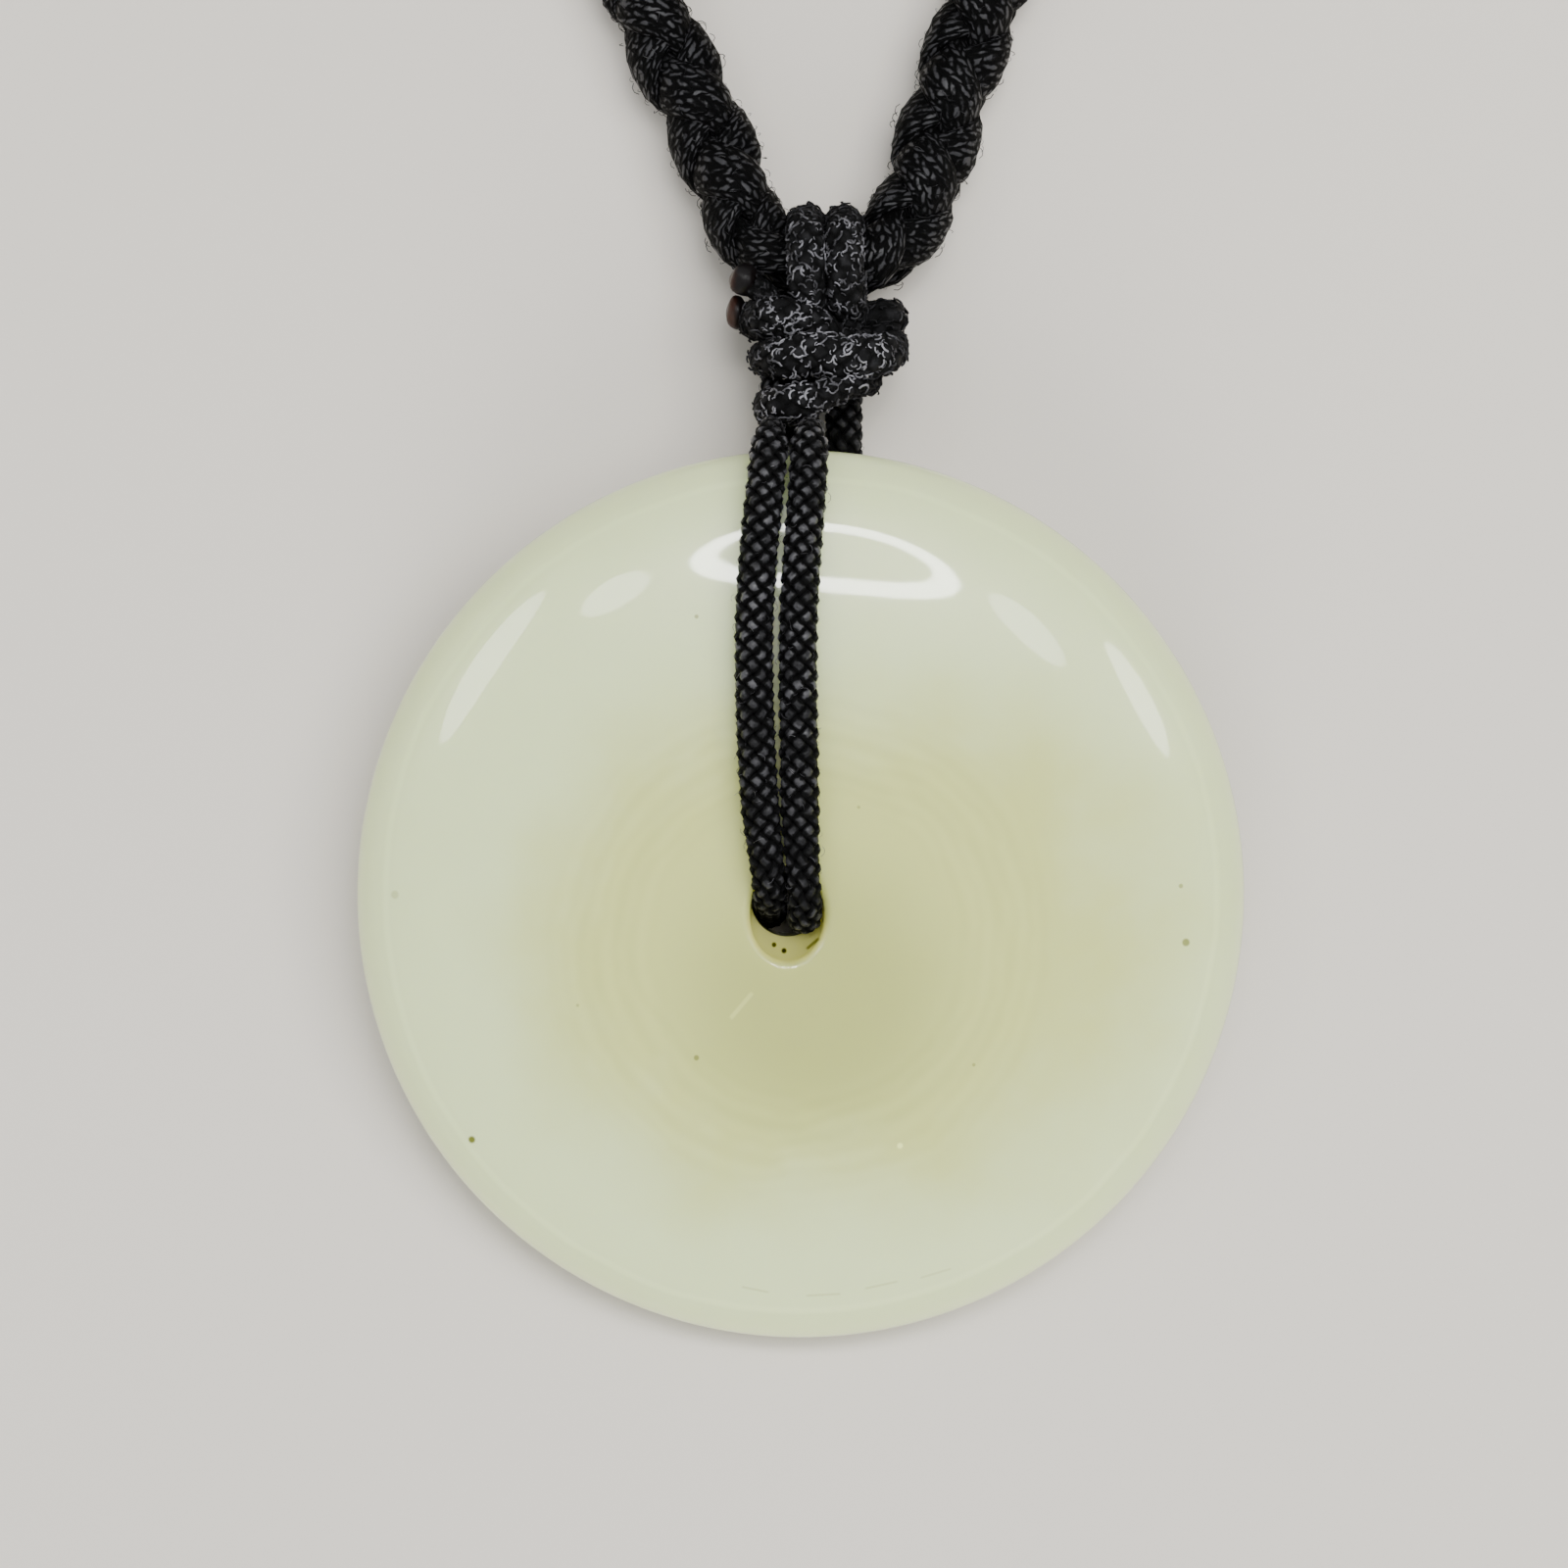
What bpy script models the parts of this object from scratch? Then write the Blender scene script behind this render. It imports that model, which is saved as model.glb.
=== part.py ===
"""A polished jade ring pendant on a doubled black bail cord and a braided necklace rope, lying down.

Metres, +Z up. The floor is z = 0 and the disc's middle stands over the origin. The disc lies on its back:
its lower edge (-Y) touches the floor, and the two bail strands under it hold its hole and its upper side
(+Y) off the floor. The bail cord comes over the face, goes down the hole and runs back under the disc to
its knot, which ties it round the rope. The rope's two legs lead on along +Y to a neat coil.
"""

import math

import bpy
import bmesh
import numpy as np

# The stone
DISC_DIAMETER = 0.0500
DISC_THICKNESS = 0.0072
FACE_FULLNESS = 3.2  # the power of the face's profile: 2 is an ellipse, higher is flatter with a rounder edge
HOLE_DIAMETER = 0.0048
HOLE_OFFSET = (-0.00077, -0.00182)  # the drilled hole stands a little off the middle
LIP_ROUNDING = 0.0005
DISC_SEGMENTS = 72

# The cords
CORD_DIAMETER = 0.0020
ROPE_DIAMETER = 0.0047
ROPE_PINCH = 0.76  # share of its diameter that the rope keeps where the bail is tied round it
TOUCH_GAP = 0.00025
LOBE_CENTRES_X = (0.00035, 0.00265)

# The wound part of the rope
COIL_CENTRE = (0.0010, 0.0910)
COIL_MID_RADIUS = 0.0250
COIL_TURNS_ACROSS = 2
COIL_TURNS_HIGH = 2
TURN_PITCH = 0.0049

# One strand of the bail, from its knot over the face, down the hole and back under the disc.
LEFT_STRAND = (
    (-0.00165, 0.0271, 0.0056), (-0.00165, 0.0267, 0.0067), (-0.00165, 0.0264, 0.0082),
    (-0.00165, 0.0259, 0.0097), (-0.00170, 0.0250, 0.0110), (-0.00175, 0.0236, 0.0119),
    (-0.00190, 0.0218, 0.01225), (-0.00225, 0.0181, 0.0126), (-0.00246, 0.0145, 0.0125),
    (-0.00246, 0.0108, 0.01215), (-0.00240, 0.0079, 0.01175), (-0.00232, 0.0050, 0.01137),
    (-0.00218, 0.0025, 0.0110), (-0.00205, 0.0007, 0.0107), (-0.00194, -0.0007, 0.0101),
    (-0.00189, -0.0015, 0.0090), (-0.00187, -0.0016, 0.0075), (-0.00187, -0.0012, 0.0055),
    (-0.00187, -0.0009, 0.0037), (-0.00180, -0.0005, 0.0022), (-0.00170, 0.0004, 0.0013),
    (-0.00160, 0.0020, 0.00106), (-0.00150, 0.0055, 0.00105), (-0.00130, 0.0100, 0.00105),
    (-0.00105, 0.0150, 0.00105), (-0.00080, 0.0200, 0.00108), (-0.00060, 0.0240, 0.00125),
    (-0.00052, 0.0259, 0.0018), (-0.00050, 0.0271, 0.0023),
)
RIGHT_STRAND = (
    (0.00050, 0.0271, 0.0056), (0.00050, 0.0267, 0.0067), (0.00050, 0.0264, 0.0082),
    (0.00048, 0.0259, 0.0097), (0.00044, 0.0250, 0.0110), (0.00040, 0.0236, 0.0119),
    (0.00030, 0.0218, 0.01225), (0.00000, 0.0181, 0.0126), (-0.00022, 0.0145, 0.0125),
    (-0.00024, 0.0108, 0.01215), (-0.00019, 0.0079, 0.01175), (-0.00012, 0.0050, 0.01137),
    (0.00000, 0.0025, 0.0110), (0.00015, 0.0007, 0.0107), (0.00027, -0.0007, 0.0101),
    (0.00033, -0.0015, 0.0090), (0.00033, -0.0016, 0.0075), (0.00033, -0.0012, 0.0055),
    (0.00033, -0.0009, 0.0037), (0.00040, -0.0005, 0.0022), (0.00050, 0.0004, 0.0013),
    (0.00065, 0.0020, 0.00106), (0.00090, 0.0055, 0.00105), (0.00125, 0.0100, 0.00105),
    (0.00165, 0.0150, 0.00105), (0.00210, 0.0200, 0.00108), (0.00245, 0.0240, 0.00125),
    (0.00253, 0.0259, 0.0018), (0.00255, 0.0271, 0.0023),
)

# The rope from the coil's left side down to the bail, where it turns, and up to the coil's right side.
ROPE_ROUTE = (
    (-0.0138, 0.0621, 0.0024), (-0.0113, 0.0588, 0.0024), (-0.0098, 0.0560, 0.0024),
    (-0.0089, 0.0532, 0.0024), (-0.0076, 0.0502, 0.0024), (-0.0066, 0.0484, 0.0024),
    (-0.0058, 0.0466, 0.0025), (-0.0050, 0.0446, 0.0027), (-0.0040, 0.0420, 0.0031),
    (-0.0028, 0.0390, 0.0038), (-0.0010, 0.0370, 0.0043), (0.0015, 0.0368, 0.0043),
    (0.0040, 0.0370, 0.0043), (0.0057, 0.0389, 0.0037), (0.0069, 0.0414, 0.0031),
    (0.0078, 0.0441, 0.0026), (0.0086, 0.0471, 0.0024), (0.0097, 0.0503, 0.0024),
    (0.0110, 0.0540, 0.0024), (0.0128, 0.0580, 0.0024), (0.0158, 0.0620, 0.0024),
    (0.0203, 0.0649, 0.0024), (0.0242, 0.0681, 0.0024),
)
PINCHED_FROM, PINCHED_TO = 10, 12  # the route's points where the bail squeezes the rope

# The knot's wraps, from the side next to the disc: place along Y, left side, right side, half depth.
KNOT_MIDDLE_Z = 0.00420
KNOT_OUTLINE = (
    (0.0280, -0.0017, 0.0010, 0.0028),
    (0.0284, -0.0025, 0.0019, 0.0037),
    (0.0293, -0.0029, 0.0031, 0.0041),
    (0.0303, -0.0030, 0.0043, 0.0040),
    (0.0309, -0.0027, 0.0050, 0.0037),
    (0.0320, -0.0029, 0.0061, 0.0041),
    (0.0330, -0.0034, 0.0064, 0.0038),
    (0.0339, -0.0044, 0.0063, 0.0040),
    (0.0344, -0.0043, 0.0056, 0.0033),
    (0.0346, -0.0033, 0.0046, 0.0025),
)
KNOT_SEGMENTS = 24


def clear_scene():
    for old in list(bpy.data.objects):
        bpy.data.objects.remove(old, do_unlink=True)


def material(name, colour, roughness):
    made = bpy.data.materials.new(name)
    made.use_nodes = True
    shader = made.node_tree.nodes["Principled BSDF"]
    shader.inputs["Base Color"].default_value = (*colour, 1.0)
    shader.inputs["Roughness"].default_value = roughness
    shader.inputs["Metallic"].default_value = 0.0
    return made


def mesh_object(name, points, faces, finish):
    mesh = bpy.data.meshes.new(name)
    mesh.from_pydata([tuple(p) for p in points], [], faces)
    shape = bmesh.new()
    shape.from_mesh(mesh)
    bmesh.ops.recalc_face_normals(shape, faces=shape.faces)
    shape.to_mesh(mesh)
    shape.free()
    mesh.shade_smooth()
    made = bpy.data.objects.new(name, mesh)
    made.data.materials.append(finish)
    bpy.context.scene.collection.objects.link(made)
    return made


def rings_to_solid(rings, closed):
    """Faces of a tube through equal rings; its ends are joined up if closed, or else capped."""
    count, sides = len(rings), len(rings[0])
    faces = []
    for i in range(count if closed else count - 1):
        nxt = (i + 1) % count
        for k in range(sides):
            turn = (k + 1) % sides
            faces.append((i * sides + k, i * sides + turn, nxt * sides + turn, nxt * sides + k))
    if not closed:
        faces.append(tuple(range(sides))[::-1])
        faces.append(tuple((count - 1) * sides + k for k in range(sides)))
    return faces


def face_height(radius):
    """Half the stone's thickness at a distance from its middle."""
    share = min(1.0, radius / (DISC_DIAMETER / 2))
    return DISC_THICKNESS / 2 * math.sqrt(max(0.0, 1.0 - share**FACE_FULLNESS))


def half_profile():
    """(share of the way from the hole to the rim, how far the lip's rounding lies under the face)."""
    hole = HOLE_DIAMETER / 2
    span = DISC_DIAMETER / 2 - hole
    rows = []
    for angle in (0, 30, 60):
        turn = math.radians(angle)
        rows.append((LIP_ROUNDING * (1 - math.cos(turn)) / span, LIP_ROUNDING * (1 - math.sin(turn))))
    for share in np.linspace(LIP_ROUNDING / span, 0.89, 7):
        rows.append((share, 0.0))
    for angle in (36, 26, 17, 9):
        rows.append((1 - (1 - math.cos(math.radians(angle))) / 2 * DISC_DIAMETER / 2 / span, 0.0))
    return rows


def rest_tilt():
    """The angle at which the disc lies with its edge on the floor and its hole's lip on the strands."""
    lip_y = HOLE_OFFSET[1] + HOLE_DIAMETER / 2 + LIP_ROUNDING
    radii = np.linspace(0, DISC_DIAMETER / 2, 400)
    heights = np.array([face_height(r) for r in radii])
    low, high = 0.0, math.radians(40)
    while high - low > 1e-7:
        tilt = (low + high) / 2
        lowest = (radii * -math.sin(tilt) - heights * math.cos(tilt)).min()
        lip = lip_y * math.sin(tilt) - face_height(abs(lip_y)) * math.cos(tilt)
        if lip - lowest < CORD_DIAMETER + TOUCH_GAP:
            low = tilt
        else:
            high = tilt
    return tilt, -lowest


def jade_disc():
    """The stone: rings that pass from the off-centre hole to the round rim, over both faces."""
    half = half_profile()
    loop = [(share, drop, 1) for share, drop in half] + [(1.0, 0.0, 0)]
    loop += [(share, drop, -1) for share, drop in reversed(half)]
    hole, rim = HOLE_DIAMETER / 2, DISC_DIAMETER / 2
    rings = []
    for share, drop, side in loop:
        radius = hole + (rim - hole) * share
        middle_x, middle_y = [(1 - share) * offset for offset in HOLE_OFFSET]
        ring = []
        for k in range(DISC_SEGMENTS):
            turn = 2 * math.pi * k / DISC_SEGMENTS
            x, y = middle_x + radius * math.cos(turn), middle_y + radius * math.sin(turn)
            ring.append((x, y, side * (face_height(math.hypot(x, y)) - drop)))
        rings.append(ring)
    points = [p for ring in rings for p in ring]
    stone = material("polished_jade", (0.60, 0.60, 0.40), 0.12)
    disc = mesh_object("jade_disc", points, rings_to_solid(rings, closed=True), stone)
    tilt, middle_z = rest_tilt()
    disc.location = (0, 0, middle_z)
    disc.rotation_euler = (tilt, 0, 0)


def smooth_line(points, spacing):
    """Points at even spacing along a smooth curve through the given points."""
    points = np.array(points, float)
    ends = np.vstack([2 * points[0] - points[1], points, 2 * points[-1] - points[-2]])
    fine = []
    for i in range(1, len(ends) - 2):
        a, b, c, d = ends[i - 1 : i + 3]
        for t in np.linspace(0, 1, 12, endpoint=False):
            fine.append(0.5 * (2 * b + (c - a) * t + (2 * a - 5 * b + 4 * c - d) * t**2 + (3 * b - a - 3 * c + d) * t**3))
    fine = np.array(fine + [points[-1]])
    along = np.concatenate([[0], np.cumsum(np.linalg.norm(np.diff(fine, axis=0), axis=1))])
    at = np.linspace(0, along[-1], max(3, round(along[-1] / spacing) + 1))
    return np.stack([np.interp(at, along, fine[:, k]) for k in range(3)], axis=1)


def tube(name, line, diameter, finish, sides_level=2, shares=None):
    """A cord along a line; shares gives the part of its diameter that it keeps at each point."""
    curve = bpy.data.curves.new(name, "CURVE")
    curve.dimensions = "3D"
    curve.bevel_depth = diameter / 2
    curve.bevel_resolution = sides_level
    curve.use_fill_caps = True
    spline = curve.splines.new("POLY")
    spline.points.add(len(line) - 1)
    for i, place in enumerate(line):
        spline.points[i].co = (*place, 1.0)
        spline.points[i].radius = 1.0 if shares is None else shares[i]
    made = bpy.data.objects.new(name, curve)
    curve.materials.append(finish)
    bpy.context.scene.collection.objects.link(made)
    return made


def rope_line():
    """The rope's middle line, and the share of its diameter that it keeps at each point."""
    line = smooth_line(ROPE_ROUTE, 0.45 * ROPE_DIAMETER)
    pinched = np.array(ROPE_ROUTE[PINCHED_FROM : PINCHED_TO + 1])
    away = np.array([np.linalg.norm(pinched - place, axis=1).min() for place in line])
    squeezed = np.clip(1 - (away - ROPE_DIAMETER / 2) / ROPE_DIAMETER, 0, 1)
    return line, 1 - (1 - ROPE_PINCH) * squeezed


def bail_strands(finish):
    end_y = KNOT_OUTLINE[0][0] - TOUCH_GAP
    for name, route in (("bail_cord_left", LEFT_STRAND), ("bail_cord_right", RIGHT_STRAND)):
        line = smooth_line(route, 0.6 * CORD_DIAMETER)
        ends = [(x, end_y, z) for x, _, z in (line[0], line[-1])]
        tube(name, [ends[0], *line, ends[1]], CORD_DIAMETER, finish)


def bail_lobes(finish):
    """The two strands from the knot over the rope and back behind it."""
    line_of_rope, shares = rope_line()
    start_y = KNOT_OUTLINE[-1][0] + TOUCH_GAP
    for name, x in zip(("bail_lobe_left", "bail_lobe_right"), LOBE_CENTRES_X):
        across = x + np.array([0, -0.5, 0.5]) * CORD_DIAMETER
        rope_y = np.interp(across, line_of_rope[:, 0], line_of_rope[:, 1])
        rope_radius = np.interp(across, line_of_rope[:, 0], shares).max() * ROPE_DIAMETER / 2
        lean = np.abs(rope_y - rope_y[0]).max()
        middle_z = np.interp(x, line_of_rope[:, 0], line_of_rope[:, 2])
        radius = rope_radius + lean + TOUCH_GAP + CORD_DIAMETER / 2
        line = [(x, start_y, middle_z + radius)]
        for angle in range(90, -91, -15):
            turn = math.radians(angle)
            line.append((x, rope_y[0] + radius * math.cos(turn), middle_z + radius * math.sin(turn)))
        line.append((x, start_y, middle_z - radius))
        tube(name, line, CORD_DIAMETER, finish)


def bail_knot(finish):
    """The three wraps as one solid whose outline swells at each wrap."""
    rings = []
    for y, left, right, depth in KNOT_OUTLINE:
        ring = []
        for k in range(KNOT_SEGMENTS):
            turn = 2 * math.pi * k / KNOT_SEGMENTS
            flat = (abs(math.cos(turn)) ** 4 + abs(math.sin(turn)) ** 4) ** -0.25 * 0.35 + 0.65
            ring.append((
                (left + right) / 2 + (right - left) / 2 * math.cos(turn) * min(1.0, flat),
                y,
                KNOT_MIDDLE_Z + depth * math.sin(turn),
            ))
        rings.append(ring)
    points = [p for ring in rings for p in ring]
    return mesh_object("bail_knot", points, rings_to_solid(rings, closed=False), finish)


def necklace_rope(finish):
    line, shares = rope_line()
    tube("necklace_rope", line, ROPE_DIAMETER, finish, sides_level=3, shares=shares)


def necklace_coil(finish):
    """The outer shape of the wound rope: a ring with a rounded cross-section."""
    half_wide = COIL_TURNS_ACROSS * TURN_PITCH / 2
    half_high = COIL_TURNS_HIGH * TURN_PITCH / 2
    round_by = TURN_PITCH / 2
    section = []
    for corner_x, corner_z, start in ((1, 1, 0), (-1, 1, 90), (-1, -1, 180), (1, -1, 270)):
        for angle in (start, start + 45, start + 90):
            turn = math.radians(angle)
            section.append((
                corner_x * (half_wide - round_by) + round_by * math.cos(turn),
                corner_z * (half_high - round_by) + round_by * math.sin(turn) + half_high,
            ))
    rings = []
    for k in range(60):
        turn = 2 * math.pi * k / 60
        rings.append([(
            COIL_CENTRE[0] + (COIL_MID_RADIUS + across) * math.cos(turn),
            COIL_CENTRE[1] + (COIL_MID_RADIUS + across) * math.sin(turn),
            up,
        ) for across, up in section])
    points = [p for ring in rings for p in ring]
    return mesh_object("necklace_coil", points, rings_to_solid(rings, closed=True), finish)


def main():
    clear_scene()
    bpy.context.scene.unit_settings.scale_length = 1.0
    jade_disc()
    cord = material("black_braided_cord", (0.010, 0.010, 0.011), 0.75)
    rope = material("black_braided_rope", (0.012, 0.012, 0.014), 0.80)
    bail_strands(cord)
    bail_lobes(cord)
    bail_knot(cord)
    necklace_rope(rope)
    necklace_coil(rope)


main()
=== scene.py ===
"""Looks for a polished jade ring pendant that lies on the floor with its two black braided cords.

Laid out as an add-on and run as a script. Metres, +Z up; the floor is z = 0 and the disc's middle stands
over the origin. The stone's own coordinates, used for its pattern, are millimetres from its middle.
"""

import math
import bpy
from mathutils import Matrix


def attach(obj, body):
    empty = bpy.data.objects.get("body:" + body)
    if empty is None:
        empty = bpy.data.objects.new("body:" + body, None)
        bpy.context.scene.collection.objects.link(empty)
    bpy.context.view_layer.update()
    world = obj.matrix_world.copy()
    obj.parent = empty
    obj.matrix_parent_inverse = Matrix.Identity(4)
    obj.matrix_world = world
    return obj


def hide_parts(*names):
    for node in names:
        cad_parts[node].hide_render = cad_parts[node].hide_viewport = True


bl_info = {
    "name": "Jade Ring Pendant",
    "version": (1, 0, 0),
    "blender": (4, 5, 0),
    "location": "View3D > Sidebar > Pendant",
    "description": "A jade ring pendant on braided cords, with a plain studio round it",
    "category": "Add Mesh",
}

import bpy
import numpy as np
from bpy.props import FloatProperty, FloatVectorProperty, IntProperty, PointerProperty
from mathutils import Matrix, Vector

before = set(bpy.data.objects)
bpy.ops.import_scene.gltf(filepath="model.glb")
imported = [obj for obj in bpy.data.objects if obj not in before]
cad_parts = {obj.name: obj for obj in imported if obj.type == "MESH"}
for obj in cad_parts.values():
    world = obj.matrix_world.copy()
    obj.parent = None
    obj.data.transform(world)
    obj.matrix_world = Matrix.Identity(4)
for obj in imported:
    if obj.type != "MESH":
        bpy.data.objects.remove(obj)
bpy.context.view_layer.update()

MM = 0.001

# The bail's strands, each from the knot over the face, down the hole and back under the disc.
LEFT_STRAND = (
    (-0.00165, 0.0271, 0.0056), (-0.00165, 0.0267, 0.0067), (-0.00165, 0.0264, 0.0082),
    (-0.00165, 0.0259, 0.0097), (-0.00172, 0.0250, 0.0110), (-0.00182, 0.0236, 0.0119),
    (-0.00200, 0.0218, 0.01225), (-0.00236, 0.0181, 0.0126), (-0.00257, 0.0145, 0.0125),
    (-0.00258, 0.0108, 0.01215), (-0.00249, 0.0079, 0.01175), (-0.00233, 0.0050, 0.01137),
    (-0.00212, 0.0029, 0.0110), (-0.00193, 0.0014, 0.0107), (-0.00180, 0.0002, 0.0101),
    (-0.00175, -0.0005, 0.0090), (-0.00173, -0.0006, 0.0075), (-0.00173, -0.0006, 0.0055),
    (-0.00173, -0.0007, 0.0037), (-0.00170, -0.0005, 0.0022), (-0.00168, 0.0004, 0.0013),
    (-0.00160, 0.0020, 0.00110), (-0.00150, 0.0055, 0.00110), (-0.00130, 0.0100, 0.00110),
    (-0.00105, 0.0150, 0.00110), (-0.00080, 0.0200, 0.00112), (-0.00060, 0.0240, 0.00130),
    (-0.00052, 0.0259, 0.0018), (-0.00050, 0.0271, 0.0023),
)
RIGHT_STRAND = (
    (0.00050, 0.0271, 0.0056), (0.00050, 0.0267, 0.0067), (0.00050, 0.0264, 0.0082),
    (0.00049, 0.0259, 0.0097), (0.00047, 0.0250, 0.0110), (0.00044, 0.0236, 0.0119),
    (0.00036, 0.0218, 0.01225), (0.00007, 0.0181, 0.0126), (-0.00014, 0.0145, 0.0125),
    (-0.00016, 0.0108, 0.01215), (-0.00012, 0.0079, 0.01175), (-0.00008, 0.0050, 0.01137),
    (0.00000, 0.0025, 0.0110), (0.00011, 0.0007, 0.0107), (0.00019, -0.0007, 0.0101),
    (0.00022, -0.0015, 0.0090), (0.00022, -0.0016, 0.0075), (0.00022, -0.0012, 0.0055),
    (0.00024, -0.0009, 0.0037), (0.00034, -0.0005, 0.0022), (0.00048, 0.0004, 0.0013),
    (0.00065, 0.0020, 0.00110), (0.00090, 0.0055, 0.00110), (0.00125, 0.0100, 0.00110),
    (0.00165, 0.0150, 0.00110), (0.00210, 0.0200, 0.00112), (0.00245, 0.0240, 0.00130),
    (0.00253, 0.0259, 0.0018), (0.00255, 0.0271, 0.0023),
)

# The rope from its turn at the bail up its left leg, and its right leg back down to the same turn.
ROPE_LEFT_LEG = (
    (0.0015, 0.0368, 0.0043), (-0.0010, 0.0370, 0.0043), (-0.0028, 0.0390, 0.0038),
    (-0.0040, 0.0420, 0.0032), (-0.0050, 0.0446, 0.0028), (-0.0058, 0.0466, 0.0026),
    (-0.0066, 0.0484, 0.0026), (-0.0076, 0.0502, 0.0026), (-0.0089, 0.0532, 0.0026),
    (-0.0098, 0.0560, 0.0026), (-0.0113, 0.0588, 0.0026), (-0.0138, 0.0621, 0.0026),
    (-0.0180, 0.0665, 0.0026), (-0.0220, 0.0722, 0.0026), (-0.0249, 0.0786, 0.0026),
    (-0.0262, 0.0850, 0.0026),
)
ROPE_RIGHT_LEG = (
    (0.0288, 0.0845, 0.0066), (0.0292, 0.0790, 0.0048), (0.0280, 0.0735, 0.0032),
    (0.0242, 0.0681, 0.0026), (0.0203, 0.0649, 0.0026), (0.0158, 0.0620, 0.0026),
    (0.0128, 0.0580, 0.0026), (0.0110, 0.0540, 0.0026), (0.0097, 0.0503, 0.0026),
    (0.0086, 0.0471, 0.0026), (0.0078, 0.0441, 0.0027), (0.0069, 0.0414, 0.0032),
    (0.0057, 0.0389, 0.0037), (0.0040, 0.0370, 0.0043), (0.0015, 0.0368, 0.0043),
)

# The wound turns: (turns from the left side, distance from the coil's middle, height).
COIL_CENTRE = (0.0010, 0.0910)
INNER, OUTER, LOW, HIGH = 0.0226, 0.0274, 0.0026, 0.0074
COIL_TRACK = (
    (0.00, OUTER, LOW), (0.45, OUTER, LOW), (0.75, INNER, LOW), (1.25, INNER, LOW),
    (1.55, INNER, HIGH), (2.25, INNER, HIGH), (2.40, (INNER + OUTER) / 2, HIGH + 0.0012),
    (2.55, OUTER, HIGH), (3.50, OUTER, HIGH),
)

# The knot's turns, each closed under the bundle: (x, y, z, the cord's thickness there).
WRAPS = (
    (
        (0.00079, 0.0344, 0.0020, 0.0020), (-0.00123, 0.0342, 0.0023, 0.0022),
        (-0.00231, 0.0340, 0.0030, 0.0024), (-0.00253, 0.0338, 0.0042, 0.0026),
        (-0.00218, 0.0334, 0.0056, 0.0026), (-0.00150, 0.0332, 0.0067, 0.0026),
        (-0.00038, 0.0331, 0.0070, 0.0024), (0.00098, 0.0328, 0.0065, 0.0022),
        (0.00200, 0.0324, 0.0056, 0.0020), (0.00360, 0.0329, 0.0048, 0.0020),
        (0.00473, 0.0335, 0.0052, 0.0024), (0.00510, 0.0338, 0.0044, 0.0024),
        (0.00479, 0.0342, 0.0032, 0.0022), (0.00308, 0.0344, 0.0024, 0.0020),
    ),
    (
        (0.00194, 0.0329, 0.0019, 0.0020), (-0.00036, 0.0323, 0.0021, 0.0020),
        (-0.00151, 0.0318, 0.0030, 0.0022), (-0.00185, 0.0314, 0.0044, 0.0024),
        (-0.00167, 0.0310, 0.0060, 0.0025), (-0.00094, 0.0307, 0.0070, 0.0026),
        (0.00074, 0.0308, 0.0075, 0.0028), (0.00276, 0.0306, 0.0075, 0.0028),
        (0.00440, 0.0309, 0.0070, 0.0026), (0.00502, 0.0315, 0.0056, 0.0025),
        (0.00512, 0.0324, 0.0042, 0.0023), (0.00432, 0.0330, 0.0028, 0.0020),
    ),
    (
        (0.00250, 0.0305, 0.0025, 0.0018), (0.00021, 0.0301, 0.0022, 0.0020),
        (-0.00122, 0.0292, 0.0032, 0.0022), (-0.00160, 0.0284, 0.0050, 0.0024),
        (-0.00143, 0.0279, 0.0068, 0.0025), (-0.00083, 0.0277, 0.0080, 0.0025),
        (0.00045, 0.0279, 0.0083, 0.0022), (0.00160, 0.0284, 0.0080, 0.0018),
        (0.00300, 0.0291, 0.0072, 0.0015), (0.00388, 0.0297, 0.0056, 0.0016),
        (0.00385, 0.0303, 0.0038, 0.0017),
    ),
)

# A strand from inside the knot up over the rope and back down behind it; the second lies beside it.
LOBE_ROUTE = (
    (0.00064, 0.0326, 0.0046), (0.00054, 0.0337, 0.0056), (0.00043, 0.0346, 0.0069),
    (0.00034, 0.0358, 0.0077), (0.00030, 0.0373, 0.0075), (0.00031, 0.0386, 0.0063),
    (0.00034, 0.0394, 0.0047), (0.00040, 0.0396, 0.0028), (0.00046, 0.0387, 0.0017),
    (0.00057, 0.0365, 0.0014), (0.00066, 0.0336, 0.0020),
)
LOBE_STEPS = (0.0, 0.00222)
LOBE_THICKNESS, STUB_THICKNESS = 1.08, 0.7
# The end of the cord that sticks out of the knot towards the singed beads.
STUB = ((-0.0015, 0.0344, 0.0055), (-0.0027, 0.0354, 0.0058))
# The singed beads: middle, and half sizes.
BEADS = (
    ((-0.0032, 0.0357, 0.0058), (0.0009, 0.00095, 0.0008)),
    ((-0.0037, 0.0341, 0.0046), (0.0006, 0.0010, 0.0009)),
)

# How far up the strands end inside the knot, where it starts to squeeze them, and where the hole begins.
KNOT_INSIDE, KNOT_EDGE, HOLE_EDGE = 0.0305, 0.0246, 0.0040
# How much thinner the strands get at the knot, over what length, and in the hole.
KNOT_SQUEEZE, SQUEEZE_LENGTH, HOLE_SQUEEZE = 0.42, 0.0014, 0.14
# How much thinner the bail pinches the rope, out to what distance, and over what length that fades.
ROPE_PINCH, PINCH_REACH, PINCH_FADE = 0.26, 0.0025, 0.0040
# A strand's thickness as a share of the rope's, and the rope's colour as a share of the bail's.
STRAND_SHARE, ROPE_TONE = 0.44, 0.48
# Each pair below runs from none to full, in height over the floor or in distance up the view.
# Loose fibres begin clear of the floor, and there are fewer past the view's upper edge.
FIBRES_HEIGHT, FIBRES_UP = (0.0008, 0.0016), (0.060, 0.052)
# Painted highlight: the knot's loose fibres are painted lighter on its top, where light falls, and less so
# up over the rope.
LIT_TOP_HEIGHT, LIT_TOP_UP = (0.0064, 0.0086), (0.0352, 0.0325)
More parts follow.
